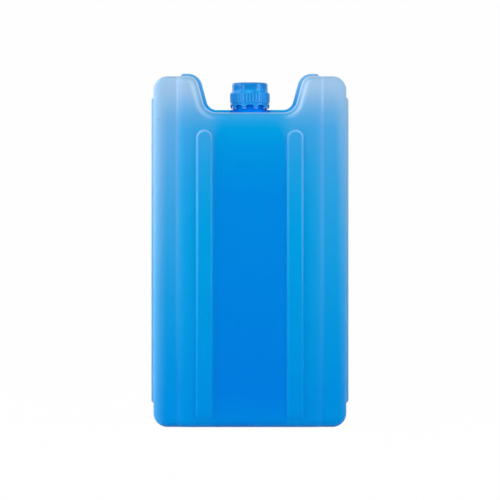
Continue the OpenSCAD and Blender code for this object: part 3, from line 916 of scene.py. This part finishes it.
def round_array_tree():
    """Geometry nodes that set copies of a part round the vertical axis and join them to the piece."""
    tree = bpy.data.node_groups.new("round_array", "GeometryNodeTree")
    for name, kind, way in (("Geometry", "Geometry", "INPUT"), ("Part", "Object", "INPUT"),
                            ("Count", "Int", "INPUT"), ("Finish", "Material", "INPUT"),
                            ("Geometry", "Geometry", "OUTPUT")):
        tree.interface.new_socket(name, in_out=way, socket_type="NodeSocket" + kind)
    given = add(tree, "NodeGroupInput").outputs
    line = add(tree, "GeometryNodeMeshLine", {"Count": given["Count"], "Offset": (0, 0, 0)})
    index = add(tree, "GeometryNodeInputIndex").outputs[0]
    share = calc(tree, "DIVIDE", index, given["Count"])
    angle = calc(tree, "MULTIPLY", share, 2 * math.pi)
    turn = add(tree, "ShaderNodeCombineXYZ", {"Z": angle}).outputs[0]
    part = add(tree, "GeometryNodeObjectInfo", {"Object": given["Part"]}).outputs["Geometry"]
    copies = add(tree, "GeometryNodeInstanceOnPoints", {
        "Points": line.outputs[0], "Instance": part,
        "Rotation": add(tree, "FunctionNodeEulerToRotation", {0: turn}).outputs[0]}).outputs[0]
    both = add(tree, "GeometryNodeJoinGeometry", {"Geometry": copies})
    tree.links.new(given["Geometry"], both.inputs[0])
    real = add(tree, "GeometryNodeRealizeInstances", {"Geometry": both.outputs[0]}).outputs[0]
    done = add(tree, "GeometryNodeSetMaterial", {"Geometry": real, "Material": given["Finish"]}).outputs[0]
    add(tree, "NodeGroupOutput", {0: done})
    return tree


def with_round_arrays(obj, arrays, material):
    """Sets each (part, count) round the axis and returns the result as a plain mesh."""
    tree = round_array_tree()
    ids = {item.name: item.identifier for item in tree.interface.items_tree if item.in_out == "INPUT"}
    for part, count in arrays:
        modifier = obj.modifiers.new("round_array", "NODES")
        modifier.node_group = tree
        modifier[ids["Part"]] = part
        modifier[ids["Count"]] = count
        modifier[ids["Finish"]] = material
    bpy.context.view_layer.update()
    mesh = bpy.data.meshes.new_from_object(obj.evaluated_get(bpy.context.evaluated_depsgraph_get()))
    obj.modifiers.clear()
    old = obj.data
    obj.data = mesh
    bpy.data.meshes.remove(old)
    for part, _ in arrays:
        bpy.data.objects.remove(part)
    return obj


# Operators

class ICEPACK_OT_bottle(bpy.types.Operator):
    """Build the frosted bottle with its ribs, rails, notch, ridge and neck"""
    bl_idname = "icepack.bottle"
    bl_label = "Bottle"

    def execute(self, context):
        scene = context.scene
        skin = bottle_skin(scene.icepack_bottle)
        neck = neck_skin(scene.icepack_bottle, scene.icepack_cap)
        piece = joined("frosted_bottle", [skin, neck])
        finish_piece(piece, frosted_wall(scene.icepack_looks), "shell")
        return {"FINISHED"}


class ICEPACK_OT_cap(bpy.types.Operator):
    """Build the locked cap with its grip ribs and its ring of tabs"""
    bl_idname = "icepack.cap"
    bl_label = "Cap"

    def execute(self, context):
        sizes = context.scene.icepack_cap
        material = moulded_cap(context.scene.icepack_looks)
        body = cap_body(sizes)
        arrays = [(grip_rib(sizes), sizes.ribs), (locking_tab(sizes), sizes.tabs)]
        piece = with_round_arrays(body, arrays, material)
        piece.name = "locked_cap"
        finish_piece(piece, material, "cap")
        return {"FINISHED"}


class ICEPACK_OT_filling(bpy.types.Operator):
    """Give the gel and the sealing disc their finishes"""
    bl_idname = "icepack.filling"
    bl_label = "Gel and seal"

    def execute(self, context):
        looks = context.scene.icepack_looks
        for node, material in (("gel", coolant_gel(looks)), ("seal", seal_foam(looks))):
            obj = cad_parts[node]
            for slot in obj.material_slots:
                slot.material = material
        return {"FINISHED"}


class ICEPACK_OT_studio(bpy.types.Operator):
    """Build the pale floor and backdrop, the soft lights and the camera"""
    bl_idname = "icepack.studio"
    bl_label = "Studio"

    def execute(self, context):
        scene = context.scene
        studio = scene.icepack_studio
        self.backdrop()
        self.world(scene)
        for name, place, aim, size, power, share in LAMPS:
            self.lamp(name, place, aim, size, getattr(studio, power) * share)
        camera = bpy.data.cameras.new("camera")
        camera.lens = LENS_MM
        camera.sensor_width = SENSOR_MM
        obj = linked("camera", camera)
        obj.location = (CAMERA_SHIFT, -studio.distance, studio.eye)
        obj.rotation_euler = (math.radians(90), 0, 0)
        scene.camera = obj
        scene.view_settings.view_transform = "Standard"
        return {"FINISHED"}

    def backdrop(self):
        """One sheet: a floor that curves up into the backdrop behind the pack."""
        bm = bmesh.new()
        profile = [(SHEET_FRONT, 0), (-1, 0), (0, 0), (SHEET_BEND_START, 0)]
        for a in np.radians(range(10, 91, 10)):
            profile.append((SHEET_BEND_START + SHEET_BEND * math.sin(a),
                            SHEET_BEND - SHEET_BEND * math.cos(a)))
        profile.append((SHEET_BEND_START + SHEET_BEND, SHEET_TOP))
        rows = [[bm.verts.new((x, y, z)) for x in (-SHEET_HALF_WIDTH, SHEET_HALF_WIDTH)] for y, z in profile]
        for a, b in zip(rows, rows[1:]):
            bm.faces.new((a[0], a[1], b[1], b[0])).smooth = True
        mesh = bpy.data.meshes.new("studio_sheet")
        bm.to_mesh(mesh)
        bm.free()
        sheet = linked("studio_sheet", mesh)
        # Matt paper that the camera and the reflections see as white, with a faint shadow left
        material, tree = new_material("matt_studio_paper")
        fibre = noise(tree, object_place(tree), 1.5, 3)
        paper = add(tree, "ShaderNodeBsdfPrincipled", {
            "Base Color": linear(PAPER_TINT), "Roughness": 0.9, "Specular IOR Level": 0.1,
            "Normal": bumped(tree, fibre, 0.05, 0.1)})
        white = add(tree, "ShaderNodeEmission", {"Color": WHITE, "Strength": 1.0})
        path = add(tree, "ShaderNodeLightPath").outputs
        seen = calc(tree, "MAXIMUM", path["Is Camera Ray"], path["Is Glossy Ray"])
        seen = calc(tree, "MAXIMUM", seen, path["Is Transmission Ray"])
        share = calc(tree, "MULTIPLY", seen, PAPER_GLOW)
        sheet_look = add(tree, "ShaderNodeMixShader", {0: share, 1: paper.outputs[0], 2: white.outputs[0]})
        add(tree, "ShaderNodeOutputMaterial", {"Surface": sheet_look.outputs[0]})
        mesh.materials.append(material)

    def world(self, scene):
        """Pale surroundings: white to the camera, and a low even level for the object."""
        world = bpy.data.worlds.new("studio_air")
        scene.world = world
        world.use_nodes = True
        tree = world.node_tree
        tree.nodes.clear()
        path = add(tree, "ShaderNodeLightPath").outputs
        level = spread(tree, path["Is Camera Ray"], 0, 1, AIR_GLOW, 1.0)
        air = add(tree, "ShaderNodeBackground", {"Color": WHITE, "Strength": level})
        add(tree, "ShaderNodeOutputWorld", {"Surface": air.outputs[0]})

    def lamp(self, name, place, aim, size, power):
        """A soft rectangular light that looks at a point."""
        light = bpy.data.lights.new(name, "AREA")
        light.shape = "RECTANGLE"
        light.size, light.size_y = size
        light.energy = power
        obj = linked(name, light)
        obj.location = place
        obj.rotation_euler = (Vector(aim) - Vector(place)).to_track_quat("-Z", "Y").to_euler()


class ICEPACK_PT_panel(bpy.types.Panel):
    """Sizes, colours and the steps that build the pack"""
    bl_idname = "ICEPACK_PT_panel"
    bl_label = "Ice Pack"
    bl_space_type = "VIEW_3D"
    bl_region_type = "UI"
    bl_category = "Ice Pack"

    def draw(self, context):
        for title, name in GROUPS:
            group = getattr(context.scene, name)
            box = self.layout.box()
            box.label(text=title)
            for key in group.bl_rna.properties.keys():
                if key not in ("rna_type", "name"):
                    box.prop(group, key)
        for operator in STEPS:
            self.layout.operator(operator.bl_idname)


GROUPS = (("Bottle", "icepack_bottle"), ("Cap", "icepack_cap"), ("Looks", "icepack_looks"),
          ("Studio", "icepack_studio"))
STEPS = (ICEPACK_OT_bottle, ICEPACK_OT_cap, ICEPACK_OT_filling, ICEPACK_OT_studio)
CLASSES = (IcePackBottle, IcePackCap, IcePackLooks, IcePackStudio, *STEPS, ICEPACK_PT_panel)


def register():
    for cls in CLASSES:
        bpy.utils.register_class(cls)
    bpy.types.Scene.icepack_bottle = PointerProperty(type=IcePackBottle)
    bpy.types.Scene.icepack_cap = PointerProperty(type=IcePackCap)
    bpy.types.Scene.icepack_looks = PointerProperty(type=IcePackLooks)
    bpy.types.Scene.icepack_studio = PointerProperty(type=IcePackStudio)


def unregister():
    for _, name in GROUPS:
        delattr(bpy.types.Scene, name)
    for cls in reversed(CLASSES):
        bpy.utils.unregister_class(cls)


def main():
    """Registers the add-on and runs its steps in order."""
    register()
    bpy.ops.icepack.bottle()
    bpy.ops.icepack.cap()
    bpy.ops.icepack.filling()
    bpy.ops.icepack.studio()


if __name__ == "__main__":
    main()
